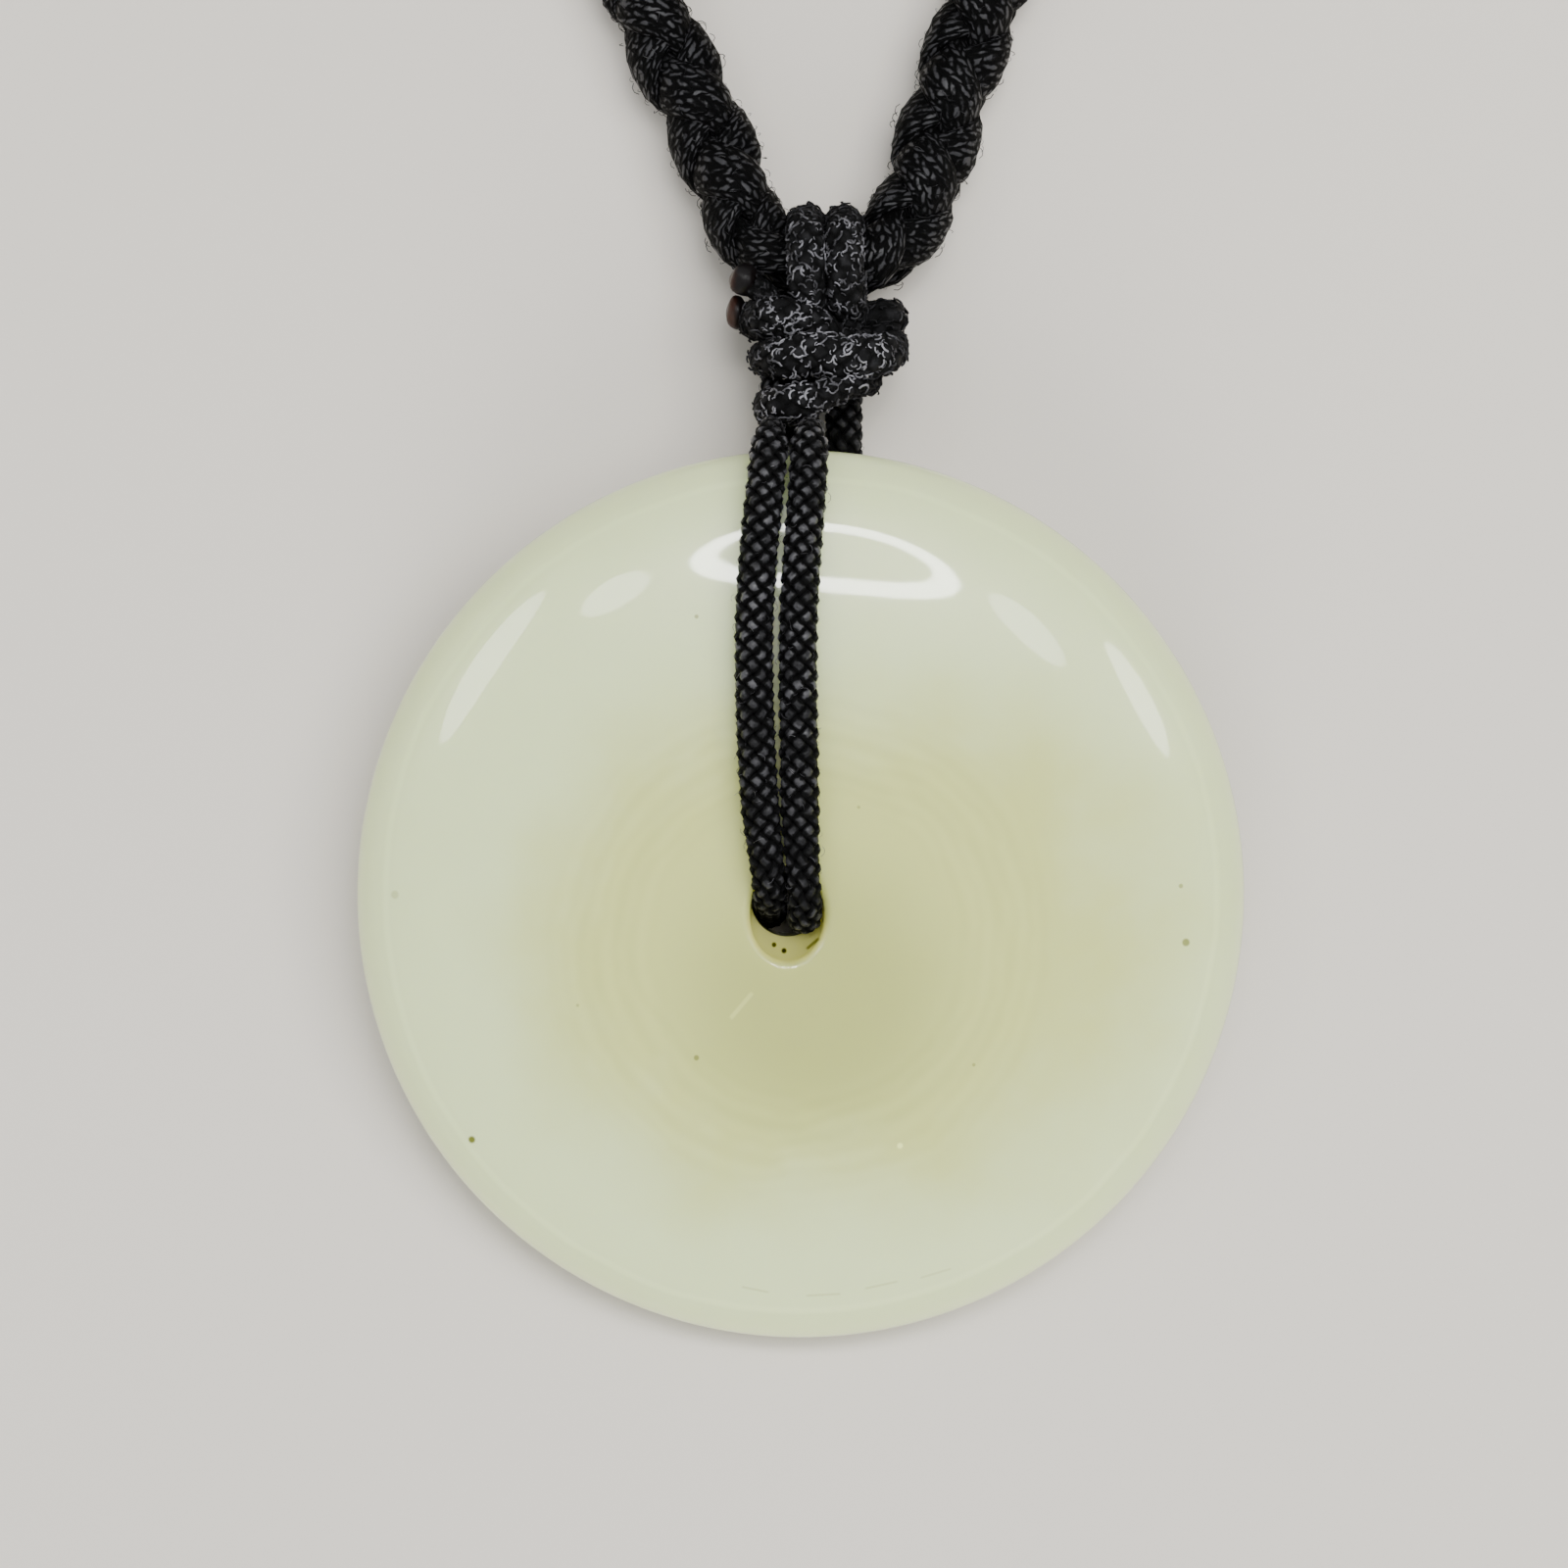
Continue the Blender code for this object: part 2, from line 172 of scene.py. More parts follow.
# Painted shade: the strands' raised tops are painted darker and less glossy low down, under the disc, and
# round the hole, where less light reaches.
BRIGHT_HEIGHT, BRIGHT_UP = (0.003, 0.007), (0.001, 0.015)
# Height over which a strand runs over the face and not under the disc.
OVER_FACE = 0.004
# The woven columns round a strand of the rope.
WOVEN_COLUMNS = 18
# Spacing of the points along the bail's lines and the rope's.
LINE_STEP, ROPE_STEP = 0.0004, 0.0008


def smooth_line(points, spacing):
    """Points at even spacing along a smooth curve through the given points."""
    points = np.array(points, float)
    ends = np.vstack([2 * points[0] - points[1], points, 2 * points[-1] - points[-2]])
    fine = []
    for i in range(1, len(ends) - 2):
        a, b, c, d = ends[i - 1 : i + 3]
        for t in np.linspace(0, 1, 12, endpoint=False):
            bend = (2 * a - 5 * b + 4 * c - d) * t**2 + (3 * b - a - 3 * c + d) * t**3
            fine.append(0.5 * (2 * b + (c - a) * t + bend))
    fine = np.array(fine + [points[-1]])
    along = np.concatenate([[0], np.cumsum(np.linalg.norm(np.diff(fine[:, :3], axis=0), axis=1))])
    at = np.linspace(0, along[-1], max(3, round(along[-1] / spacing) + 1))
    return np.stack([np.interp(at, along, column) for column in fine.T], axis=1)


class Wire:
    """A node's output on which Python's operators add Math nodes, or Vector Math nodes for vectors."""

    def __init__(self, graph, socket):
        self.graph, self.socket = graph, socket

    def maths(self, operation, *values):
        vectors = any(isinstance(v, Wire) and v.socket.type == "VECTOR" for v in values)
        kind = "ShaderNodeVectorMath" if vectors else "ShaderNodeMath"
        return self.graph.node(kind, {"operation": operation}, dict(enumerate(values)))

    def output(self, name):
        return Wire(self.graph, self.socket.node.outputs[name])

    def __add__(self, other):
        return self.maths("ADD", self, other)

    def __radd__(self, other):
        return self.maths("ADD", other, self)

    def __sub__(self, other):
        return self.maths("SUBTRACT", self, other)

    def __rsub__(self, other):
        return self.maths("SUBTRACT", other, self)

    def __mul__(self, other):
        return self.maths("MULTIPLY", self, other)

    def __rmul__(self, other):
        return self.maths("MULTIPLY", other, self)

    def __truediv__(self, other):
        return self.maths("DIVIDE", self, other)

    def __rtruediv__(self, other):
        return self.maths("DIVIDE", other, self)

    def __pow__(self, other):
        return self.maths("POWER", self, other)


class Graph:
    """A tree of shader or geometry nodes that is being built."""

    def __init__(self, tree):
        self.tree = tree

    def node(self, kind, settings=None, sockets=None, out=0):
        """Adds a node, makes its settings, then feeds its sockets; returns one of its outputs."""
        made = self.tree.nodes.new(kind)
        for name, value in (settings or {}).items():
            setattr(made, name, value)
        for name, value in (sockets or {}).items():
            self.feed(made.inputs[name], value)
        return Wire(self, made.outputs[out]) if made.outputs else made

    def feed(self, socket, value):
        if isinstance(value, Wire):
            self.tree.links.new(value.socket, socket)
        elif socket.type == "VECTOR" and isinstance(value, (int, float)):
            socket.default_value = (value,) * 3
        elif socket.type == "RGBA" and len(value) == 3:
            socket.default_value = (*value, 1.0)
        else:
            socket.default_value = value

    def maths(self, operation, *values):
        """A Math node for what Python's operators don't cover."""
        return self.node("ShaderNodeMath", {"operation": operation}, dict(enumerate(values)))

    def split(self, place):
        """The three parts of a vector."""
        axes = self.node("ShaderNodeSeparateXYZ", {}, {0: place})
        return axes, axes.output("Y"), axes.output("Z")

    def step(self, value, low, high):
        """0 below low, 1 above high and smooth between; low may be the higher of the two."""
        return self.node(
            "ShaderNodeMapRange",
            {"interpolation_type": "SMOOTHSTEP"},
            {"Value": value, "From Min": low, "From Max": high, "To Min": 0.0, "To Max": 1.0},
        )

    def noise(self, place, scale, detail=3.0, roughness=0.5):
        sockets = {"Vector": place, "Scale": scale, "Detail": detail, "Roughness": roughness}
        return self.node("ShaderNodeTexNoise", {}, sockets)

    def store(self, geometry, name, value, kind="FLOAT"):
        """Keeps a value on the geometry's points under a name."""
        return self.node(
            "GeometryNodeStoreNamedAttribute",
            {"data_type": kind, "domain": "POINT"},
            {"Geometry": geometry, "Name": name, "Value": value},
        )

    def stored(self, name):
        """A vector that was kept on the points under a name."""
        kind = {"data_type": "FLOAT_VECTOR"}
        return self.node("GeometryNodeInputNamedAttribute", kind, {"Name": name}, out="Attribute")

    def blend(self, share, first, second, way="MIX"):
        """A colour between two colours."""
        mix = self.node("ShaderNodeMix", {"data_type": "RGBA", "blend_type": way}).socket.node
        self.feed(mix.inputs[0], share)
        self.feed(mix.inputs[6], first)
        self.feed(mix.inputs[7], second)
        return Wire(self, mix.outputs[2])


def new_material(name):
    """A material with only its Principled shader, and the graph to build on."""
    made = bpy.data.materials.new(name)
    made.use_nodes = True
    return made, Graph(made.node_tree), made.node_tree.nodes["Principled BSDF"]


def link_piece(obj, slot, *nodes):
    """Puts a finished piece into the frame in the place of its CAD nodes."""
    bpy.context.scene.collection.objects.link(obj)
    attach(obj, "root")
    if nodes:
        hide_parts(*nodes)


class StoneSettings(bpy.types.PropertyGroup):
    diameter: FloatProperty(
        name="Diameter", description="Across the disc", default=0.050, unit="LENGTH"
    )
    thickness: FloatProperty(
        name="Thickness", description="At the middle", default=0.0072, unit="LENGTH"
    )
    fullness: FloatProperty(
        name="Fullness", description="2 is an ellipse, more is flatter with a rounder edge", default=3.2
    )
    hole_diameter: FloatProperty(
        name="Hole", description="Across the drilled hole", default=0.0048, unit="LENGTH"
    )
    hole_offset: FloatVectorProperty(
        name="Hole's place", description="From the disc's middle", size=2, default=(-0.00077, -0.00182)
    )
    wear: FloatProperty(
        name="Wear", description="How much further up the hole's throat is than its opening",
        default=0.0015, unit="LENGTH"
    )
    wear_depth: FloatProperty(
        name="Wear's depth", description="How deep its throat begins", default=0.0012, unit="LENGTH"
    )
    lip: FloatProperty(
        name="Lip rounding", description="Rounding of the hole's edge", default=0.0005, unit="LENGTH"
    )
    rim_colour: FloatVectorProperty(
        name="Rim", description="The stone's colour near its rim", subtype="COLOR",
        default=(0.650, 0.724, 0.396),
    )
    heart_colour: FloatVectorProperty(
        name="Heart", description="The stone's colour round its hole", subtype="COLOR",
        default=(0.552, 0.583, 0.200),
    )
    # The hole's wall: the stone's deeper yellow with painted light that passes through the stone into the
    # hole.
    lit_wall_colour: FloatVectorProperty(
        name="Wall", description="The stone's colour inside its hole", subtype="COLOR",
        default=(0.700, 0.690, 0.225),
    )


class CordSettings(bpy.types.PropertyGroup):
    bail_diameter: FloatProperty(
        name="Bail cord", description="The bail cord's diameter", default=0.00225, unit="LENGTH"
    )
    bail_turn: FloatProperty(
        name="Bail's turn", description="Length of one turn of its yarns", default=0.0064, unit="LENGTH"
    )
    bail_yarns: IntProperty(name="Bail's yarns", description="Yarns each way round", default=6)
    rope_diameter: FloatProperty(
        name="Rope", description="The necklace rope's diameter", default=0.0048, unit="LENGTH"
    )
    rope_turn: FloatProperty(
        name="Rope's turn", description="Length of one turn of its strands", default=0.0115, unit="LENGTH"
    )
    # The colour the yarns' raised tops are painted up to, as a painted sheen on the black fibre.
    colour: FloatVectorProperty(
        name="Colour", description="The black fibre", subtype="COLOR", default=(0.056, 0.055, 0.060)
    )
    wear: FloatProperty(
        name="Wear", description="Loose fibres on the knot, a square millimetre", default=3.4
    )

    def worn(self):
        """The braid's settings where the cord is worn and frayed, as on the knot."""
        loose = self.wear * 1e6
        thick = self.bail_diameter
        pale = [share * 4.0 for share in self.colour]
        return {
            "Wave": thick * 0.035, "Yarn width": thick * 0.39,
            "Fibres near": loose, "Fibres far": loose, "Fibre size": 0.00024, "Fibre thickness": 0.22,
            "Fibre stand": 0.07, "Roughen": 0.00020,
            "Material": shared(
                "worn_cord", lambda: cord_material("worn_cord", pale, 0.0045, 1.0, shine=0.04)
            ),
        }


class StageSettings(bpy.types.PropertyGroup):
    floor_colour: FloatVectorProperty(
        name="Floor", description="The plain floor", subtype="COLOR", default=(0.62, 0.58, 0.52)
    )
    camera_distance: FloatProperty(
        name="Camera distance", description="From the disc's middle plane", default=0.220, unit="LENGTH"
    )
    view_width: FloatProperty(
        name="View width", description="Width seen at that plane", default=0.0884, unit="LENGTH"
    )
    view_centre: FloatVectorProperty(
        name="View centre", description="On the disc's plane", size=2, default=(-0.00094, 0.00619)
    )
    light: FloatProperty(name="Light", description="Strength of all the lamps", default=1.0)


def face_height(stone, radius):
    """How far the polished face stands from the disc's middle plane."""
    share = np.minimum(1.0, np.asarray(radius) / (stone.diameter / 2))
    return stone.thickness / 2 * np.sqrt(np.maximum(0.0, 1.0 - share**stone.fullness))


def stone_place(stone, cord_diameter=0.0020, gap=0.00025):
    """Where the disc rests: its edge on the floor and its hole's lip on the strands under it."""
    lip_y = stone.hole_offset[1] + stone.hole_diameter / 2 + stone.lip
    radii = np.linspace(0, stone.diameter / 2, 400)
    heights = face_height(stone, radii)
    low, high = 0.0, math.radians(40)
    while high - low > 1e-7:
        tilt = (low + high) / 2
        lowest = (radii * -math.sin(tilt) - heights * math.cos(tilt)).min()
        lip = lip_y * math.sin(tilt) - float(face_height(stone, abs(lip_y))) * math.cos(tilt)
        if lip - lowest < cord_diameter + gap:
            low = tilt
        else:
            high = tilt
    return Matrix.Translation((0, 0, -lowest)) @ Matrix.Rotation(tilt, 4, "X")


# Middles on the face, in the stone's millimetres: its yellower heart, its deepest tone with a painted dark
# reflection below the hole, its faint rings.
HEART, DEEP_TONE_AND_REFLECTION, SWIRL = (2.8, -2.6), (0.8, -5.6), (0.2, -2.65)
HEART_SQUASH = 0.66
# The shallow line round the face, in millimetres from the middle, with a painted highlight along it and
# painted shade on the rim band beyond.
EDGE_LINE = 23.3
# Marks on the polished face, in the stone's millimetres: across, up, half size, darkness.
SPECKS = (
    (-5.8, 15.5, 0.13, 0.5), (21.5, -2.65, 0.20, 0.6), (21.2, 0.5, 0.13, 0.5), (-18.4, -13.7, 0.22, 0.8),
    (-5.8, -9.0, 0.14, 0.5), (5.5, -13.9, 0.16, -0.5), (-22.7, 0.0, 0.25, 0.25), (-0.94, -3.09, 0.17, 0.75),
    (-1.49, -2.76, 0.15, 0.7), (9.6, -9.4, 0.09, 0.4), (-12.4, -6.1, 0.09, 0.4), (3.2, 4.9, 0.1, 0.35),
)
# Hairline scratches: from across, up, to across, up, half width, darkness.
SCRATCHES = (
    (-3.9, -6.8, -2.7, -5.4, 0.12, -0.22), (0.33, -2.98, 1.0, -2.4, 0.08, 0.5),
    (-3.3, -21.9, -1.8, -22.2, 0.07, 0.18), (0.3, -22.4, 2.2, -22.3, 0.07, 0.18),
    (3.6, -22.0, 5.4, -21.6, 0.07, 0.18), (6.7, -21.4, 8.4, -20.9, 0.07, 0.15),
)


def reach_from(x, y, middle):
    """How far a spot on the stone is from a middle."""
    from_x, from_y = x - middle[0], y - middle[1]
    return (from_x * from_x + from_y * from_y) ** 0.5


def jade_material(stone):
    """Pale jade that is yellower towards its hole, with faint rings, clouds, specks and scratches."""
    made, g, shader = new_material("polished_jade")
    place = g.node("ShaderNodeAttribute", {"attribute_name": "stone_place"}, out="Vector")
    x, y, _ = g.split(place)

    drift = g.noise(place, 0.11, 3.0, 0.55) - 0.5
    cloud = g.noise(place + 31.0, 0.35, 4.0, 0.6) - 0.5
    heart_x, heart_y = x - HEART[0], y - HEART[1]
    heart_reach = (heart_x * heart_x * HEART_SQUASH + heart_y * heart_y) ** 0.5
    heart = g.step(heart_reach + drift * 9.0 + cloud * 2.5, 19.0, 9.5)
    # Darker below the hole: partly the stone's deeper tone, partly a painted dark reflection of the
    # camera's side in the polish.
    deep = g.step(reach_from(x, y, DEEP_TONE_AND_REFLECTION) + cloud * 2.0, 10.5, 3.0)

    swirl = reach_from(x, y, SWIRL)
    fine_rings = g.maths("SINE", (swirl + drift * 3.5) * 6.4)
    wide_rings = g.maths("SINE", (swirl - drift * 5.0) * 3.1)
    band = g.step(swirl, 7.5, 9.5) * g.step(swirl, 15.5, 12.0)
    rings = (fine_rings * 0.5 + wide_rings * 0.5) * band * 0.045

    # Painted shade on the rim band beyond the line, where the edge curves away, and a painted highlight
    # along the line itself.
    face_reach = (x * x + y * y) ** 0.5 + drift * 0.4
    from_line = g.maths("ABSOLUTE", face_reach - EDGE_LINE)
    rim_band_shade = g.step(face_reach, EDGE_LINE - 0.1, EDGE_LINE + 0.3)
    edge = rim_band_shade * 0.05 - g.step(from_line, 0.30, 0.05) * 0.06

    shade = rings + cloud * 0.05 + deep * 0.22 + edge
    for mark_x, mark_y, size, dark in SPECKS:
        away = reach_from(x, y, (mark_x, mark_y)) + cloud * size
        shade = shade + g.step(away, size * 1.3, size * 0.6) * dark
    for x1, y1, x2, y2, width, dark in SCRATCHES:
        span = math.hypot(x2 - x1, y2 - y1)
        along_x, along_y = (x2 - x1) / span, (y2 - y1) / span
        from_x, from_y = x - (x1 + x2) / 2, y - (y1 + y2) / 2
        from_middle = g.maths("ABSOLUTE", from_x * along_x + from_y * along_y)
        beside = g.maths("ABSOLUTE", from_x * along_y - from_y * along_x)
        line = g.step(beside, width * 1.4, width * 0.5)
        line = line * g.step(from_middle, span / 2 + 0.1, span / 2 - 0.1)
        shade = shade + line * dark

    opening = (stone.hole_offset[0] / MM, stone.hole_offset[1] / MM + 0.25)
    hole = stone.hole_diameter / 2 / MM
    wall = g.step(reach_from(x, y, opening), hole - 0.05, hole - 0.35)
    body = g.blend(heart, stone.rim_colour, stone.heart_colour)
    # The hole's wall takes a colour that holds painted light passed through the stone.
    body = g.blend(wall, body, stone.lit_wall_colour)
    kept = g.node("ShaderNodeCombineColor", {}, {0: 1.0 - shade, 1: 1.0 - shade, 2: 1.0 - shade * 1.3})
    g.feed(shader.inputs["Base Color"], g.blend(1.0, body, kept, "MULTIPLY"))
    shader.inputs["Roughness"].default_value = 0.28
    shader.inputs["Subsurface Weight"].default_value = 0.85
    shader.inputs["Subsurface Radius"].default_value = (1.0, 1.0, 0.7)
    shader.inputs["Subsurface Scale"].default_value = 0.0035
    shader.inputs["Coat Weight"].default_value = 0.9
    shader.inputs["Coat Roughness"].default_value = 0.04
    shader.inputs["Coat IOR"].default_value = 1.6
    return made


def stone_rings(stone, segments=288, face_rows=40, edge_rows=26):
    """Rings from the off-centre hole over one face to the rim and back under the other, in metres."""
    hole, rim = stone.hole_diameter / 2, stone.diameter / 2
    # Even rows reach this share of the way out; the rest close up towards the rim, by an arc's degrees.
    face_end, edge_arc, edge_share = 0.86, 42, 0.545
    crease_depth, crease_place, crease_width = 0.00005, rim * 0.935, rim * 0.012
    half = []
    for angle in np.linspace(0, 90, 7)[:-1]:
        turn = math.radians(angle)
        half.append((stone.lip * (1 - math.cos(turn)) / (rim - hole), stone.lip * (1 - math.sin(turn))))
    for share in np.linspace(stone.lip / (rim - hole), face_end, face_rows):
        half.append((share, 0.0))
    for angle in np.linspace(edge_arc, 0, edge_rows)[1:-1]:
        half.append((1 - (1 - math.cos(math.radians(angle))) * edge_share, 0.0))
    # Each opening: how far up its middle is from the drilled hole's, its half width and half height.
    front = (stone.wear * 0.53, hole - 0.00035, hole + 0.0002)
    throat = (stone.wear, hole - 0.0004, hole - 0.0004)
    loop = [(share, drop, 1, front) for share, drop in half] + [(1.0, 0.0, 0, front)]
    loop += [(share, drop, -1, throat) for share, drop in reversed(half)]
    loop += [(0.0, stone.thickness / 2, 1, throat), (0.0, stone.wear_depth + 0.0001, 1, throat)]
    loop += [(0.0, stone.wear_depth, 1, throat), (0.0, stone.lip + 0.0001, 1, front)]
    turns = np.linspace(0, 2 * math.pi, segments, endpoint=False)
    rings = []
    for share, drop, side, (up, half_width, half_height) in loop:
        across = half_width + (rim - half_width) * share
        along = half_height + (rim - half_height) * share
        x = (1 - share) * stone.hole_offset[0] + across * np.cos(turns)
        y = (1 - share) * (stone.hole_offset[1] + up) + along * np.sin(turns)
        reach = np.hypot(x, y)
        crease = crease_depth * np.exp(-(((reach - crease_place) / crease_width) ** 2))
        rings.append(np.stack([x, y, side * (face_height(stone, reach) - drop - crease)], axis=1))
    return np.array(rings)


class PENDANT_OT_stone(bpy.types.Operator):
    """Adds the polished jade disc with its off-centre hole"""

    bl_idname = "pendant.stone"
    bl_label = "Jade Disc"

    def execute(self, context):
        stone = context.scene.pendant_stone
        rings = stone_rings(stone)
        count, sides = rings.shape[:2]
        own = rings.reshape(-1, 3)
        place = np.array(stone_place(stone))
        points = own @ place[:3, :3].T + place[:3, 3]
        ring = np.arange(count)[:, None]
        side = np.arange(sides)[None, :]
        after, turned = (ring + 1) % count, (side + 1) % sides
        corners = [(ring, side), (after, side), (after, turned), (ring, turned)]
        faces = np.stack([row * sides + column for row, column in corners], axis=-1).reshape(-1, 4)
        mesh = bpy.data.meshes.new("jade_stone")
        mesh.from_pydata(points.tolist(), [], faces.tolist())
        mesh.shade_smooth()
        mesh.attributes.new("stone_place", "FLOAT_VECTOR", "POINT")
        mesh.attributes["stone_place"].data.foreach_set("vector", (own / MM).ravel())
        mesh.materials.append(jade_material(stone))
        link_piece(bpy.data.objects.new("jade_stone", mesh), "polished_jade", "jade_disc")
        return {"FINISHED"}


BRAID_INPUTS = {
    "NodeSocketGeometry": ("Geometry",),
    "NodeSocketInt": ("Yarns each way", "Yarn sides", "Seed"),
    "NodeSocketFloat": (
        "Path radius", "Wave", "Turn", "Yarn width", "Yarn thickness", "Step", "Fibres near", "Fibres far",
        "Fibre size", "Fibre thickness", "Fibre stand", "Roughen",
    ),
    "NodeSocketMaterial": ("Material",),
}


def braid_tree(upright):
    """A tree that lays a round braid along a path: its yarns run both ways round and cross in turn."""
    tree = bpy.data.node_groups.new("Round braid", "GeometryNodeTree")
    for kind, names in BRAID_INPUTS.items():
        for name in names:
            tree.interface.new_socket(name, in_out="INPUT", socket_type=kind)
    tree.interface.new_socket("Geometry", in_out="OUTPUT", socket_type="NodeSocketGeometry")
    g = Graph(tree)
    given = g.node("NodeGroupInput")
    get = given.output

    path = g.node(
        "GeometryNodeResampleCurve", {"mode": "LENGTH"}, {"Curve": get("Geometry"), "Length": get("Step")}
    )
    path = g.node("GeometryNodeSetCurveNormal", {"mode": "Z_UP" if upright else "MINIMUM_TWIST"}, {0: path})

    # Each yarn's line: half of them run round one way and half the other.
    each_way = get("Yarns each way")
    yarns = g.node(
        "GeometryNodeDuplicateElements",
        {"domain": "SPLINE"},
        {"Geometry": path, "Amount": each_way * 2.0},
    )
    index = yarns.output("Duplicate Index")
    way = 1.0 - g.maths("MODULO", index, 2.0) * 2.0
    place_in_ring = g.maths("FLOOR", index / 2.0) / each_way
    along = g.node("GeometryNodeSplineParameter", out="Length")
    angle = (way * along / get("Turn") + place_in_ring) * (2 * math.pi)
    wave = g.maths("COSINE", angle * each_way)
    wave = wave * (1.5 - wave * wave * 0.5)

    tangent = g.node("GeometryNodeInputTangent")
    normal = g.node("GeometryNodeInputNormal")
    side = g.node("ShaderNodeVectorMath", {"operation": "CROSS_PRODUCT"}, {0: tangent, 1: normal})
    outward = normal * g.maths("COSINE", angle) + side * g.maths("SINE", angle)
    thick = g.node("GeometryNodeInputRadius")
    shift = outward * ((get("Path radius") + way * wave * get("Wave")) * thick)
    kept = g.store(yarns, "outward", outward, "FLOAT_VECTOR")
    kept = g.store(kept, "along", along / MM)
    kept = g.store(kept, "lift", way * wave)
    moved = g.node("GeometryNodeSetPosition", {}, {"Geometry": kept, "Offset": shift})
    facing = {"Curve": moved, "Normal": g.stored("outward")}
    moved = g.node("GeometryNodeSetCurveNormal", {"mode": "FREE"}, facing)

    # The yarns' flattened outline, swept along their lines.
    profile = g.node("GeometryNodeCurvePrimitiveCircle", {"mode": "RADIUS"}, {
        "Resolution": get("Yarn sides"), "Radius": 0.5})
    profile = g.store(profile, "ring", g.node("GeometryNodeInputPosition"), "FLOAT_VECTOR")
    size = g.node("ShaderNodeCombineXYZ", {}, {0: get("Yarn thickness"), 1: get("Yarn width"), 2: 1.0})
    profile = g.node("GeometryNodeTransform", {}, {"Geometry": profile, "Scale": size})
    mesh = g.node(
        "GeometryNodeCurveToMesh",
        {},
        {"Curve": moved, "Profile Curve": profile, "Scale": thick, "Fill Caps": True},
    )

    lumps = g.noise(g.node("GeometryNodeInputPosition"), 2200.0, 2.0, 0.6) - 0.5
    bulge = g.node("GeometryNodeInputNormal") * (lumps * get("Roughen"))
    mesh = g.node("GeometryNodeSetPosition", {}, {"Geometry": mesh, "Offset": bulge})

    # Loose curled fibres on the yarns' outer side.
    _, up, height = g.split(g.node("GeometryNodeInputPosition"))
    density = get("Fibres far") + (get("Fibres near") - get("Fibres far")) * g.step(up, *FIBRES_UP)
    outside = g.step(g.split(g.stored("ring"))[0], -0.02, 0.08)
    density = density * outside * g.step(height, *FIBRES_HEIGHT)
    spots = g.node("GeometryNodeDistributePointsOnFaces", {"distribute_method": "RANDOM"}, {
        "Mesh": mesh, "Density": density, "Seed": get("Seed")})
    curl = g.node("GeometryNodeCurveArc", {"mode": "RADIUS"}, {
        "Resolution": 4, "Radius": 1.0, "Start Angle": math.radians(-60), "Sweep Angle": math.radians(125)})
    hair = g.node("GeometryNodeCurvePrimitiveCircle", {"mode": "RADIUS"}, {
        "Resolution": 3, "Radius": get("Fibre thickness")})
    curl = g.node("GeometryNodeCurveToMesh", {}, {"Curve": curl, "Profile Curve": hair})
    spin = g.node("FunctionNodeRandomValue", {"data_type": "FLOAT_VECTOR"}, {
        0: (-0.9, -1.9, 0.0), 1: (0.9, -1.1, 0.0), "Seed": 3})
    turned = g.node(
        "FunctionNodeRandomValue", {"data_type": "FLOAT"}, {2: 0.0, 3: 2 * math.pi, "Seed": 4}, out=1
    )
    spin = spin * get("Fibre stand") + g.node("ShaderNodeCombineXYZ", {}, {2: turned})
    rotation = g.node("FunctionNodeRotateRotation", {"rotation_space": "LOCAL"}, {
        0: spots.output("Rotation"), 1: spin})
    scale = g.node("FunctionNodeRandomValue", {"data_type": "FLOAT"}, {2: 0.5, 3: 1.5, "Seed": 5}, out=1)
    hairs = g.node("GeometryNodeInstanceOnPoints", {}, {
        "Points": spots, "Instance": curl, "Rotation": rotation, "Scale": scale * get("Fibre size")})
    hairs = g.node("GeometryNodeRealizeInstances", {}, {"Geometry": hairs})
    hairs = g.store(hairs, "fray", 1.0)
    both = g.node("GeometryNodeJoinGeometry")
    tree.links.new(hairs.socket, both.socket.node.inputs[0])
    tree.links.new(mesh.socket, both.socket.node.inputs[0])
    smooth = g.node("GeometryNodeSetShadeSmooth", {}, {"Geometry": both, "Shade Smooth": True})
    whole = g.node("GeometryNodeRealizeInstances", {}, {"Geometry": smooth})
    finished = g.node("GeometryNodeSetMaterial", {}, {"Geometry": whole, "Material": get("Material")})
    g.node("NodeGroupOutput", {}, {0: finished})
    return tree


def path_object(name, lines):
    """A curve with one straight-sided spline for each pair of points and thickness shares."""
    curve = bpy.data.curves.new(name + "_path", "CURVE")
    curve.dimensions = "3D"
    curve.twist_mode = "MINIMUM"
    for points, shares in lines:
        spline = curve.splines.new("POLY")
        spline.points.add(len(points) - 1)
        for i, place in enumerate(points):
            spline.points[i].co = (*place, 1.0)
            spline.points[i].radius = float(shares[i])
    made = bpy.data.objects.new(name + "_path", curve)
    bpy.context.scene.collection.objects.link(made)
    return made


def braided(name, lines, tree, values):
    """The plain mesh of a braid along some lines."""
    path = path_object(name, lines)
    modifier = path.modifiers.new("Braid", "NODES")
    modifier.node_group = tree
    for item in tree.interface.items_tree:
        if item.in_out == "INPUT" and item.name in values:
            modifier[item.identifier] = values[item.name]
    seen = path.evaluated_get(bpy.context.evaluated_depsgraph_get())
    mesh = bpy.data.meshes.new_from_object(seen)
    mesh.name = name
    path.modifiers.remove(modifier)
    curve = path.data
    bpy.data.objects.remove(path)
    bpy.data.curves.remove(curve)
    if not mesh.polygons:
        raise RuntimeError(f"{name}: the braid came out empty")
    return bpy.data.objects.new(name, mesh)


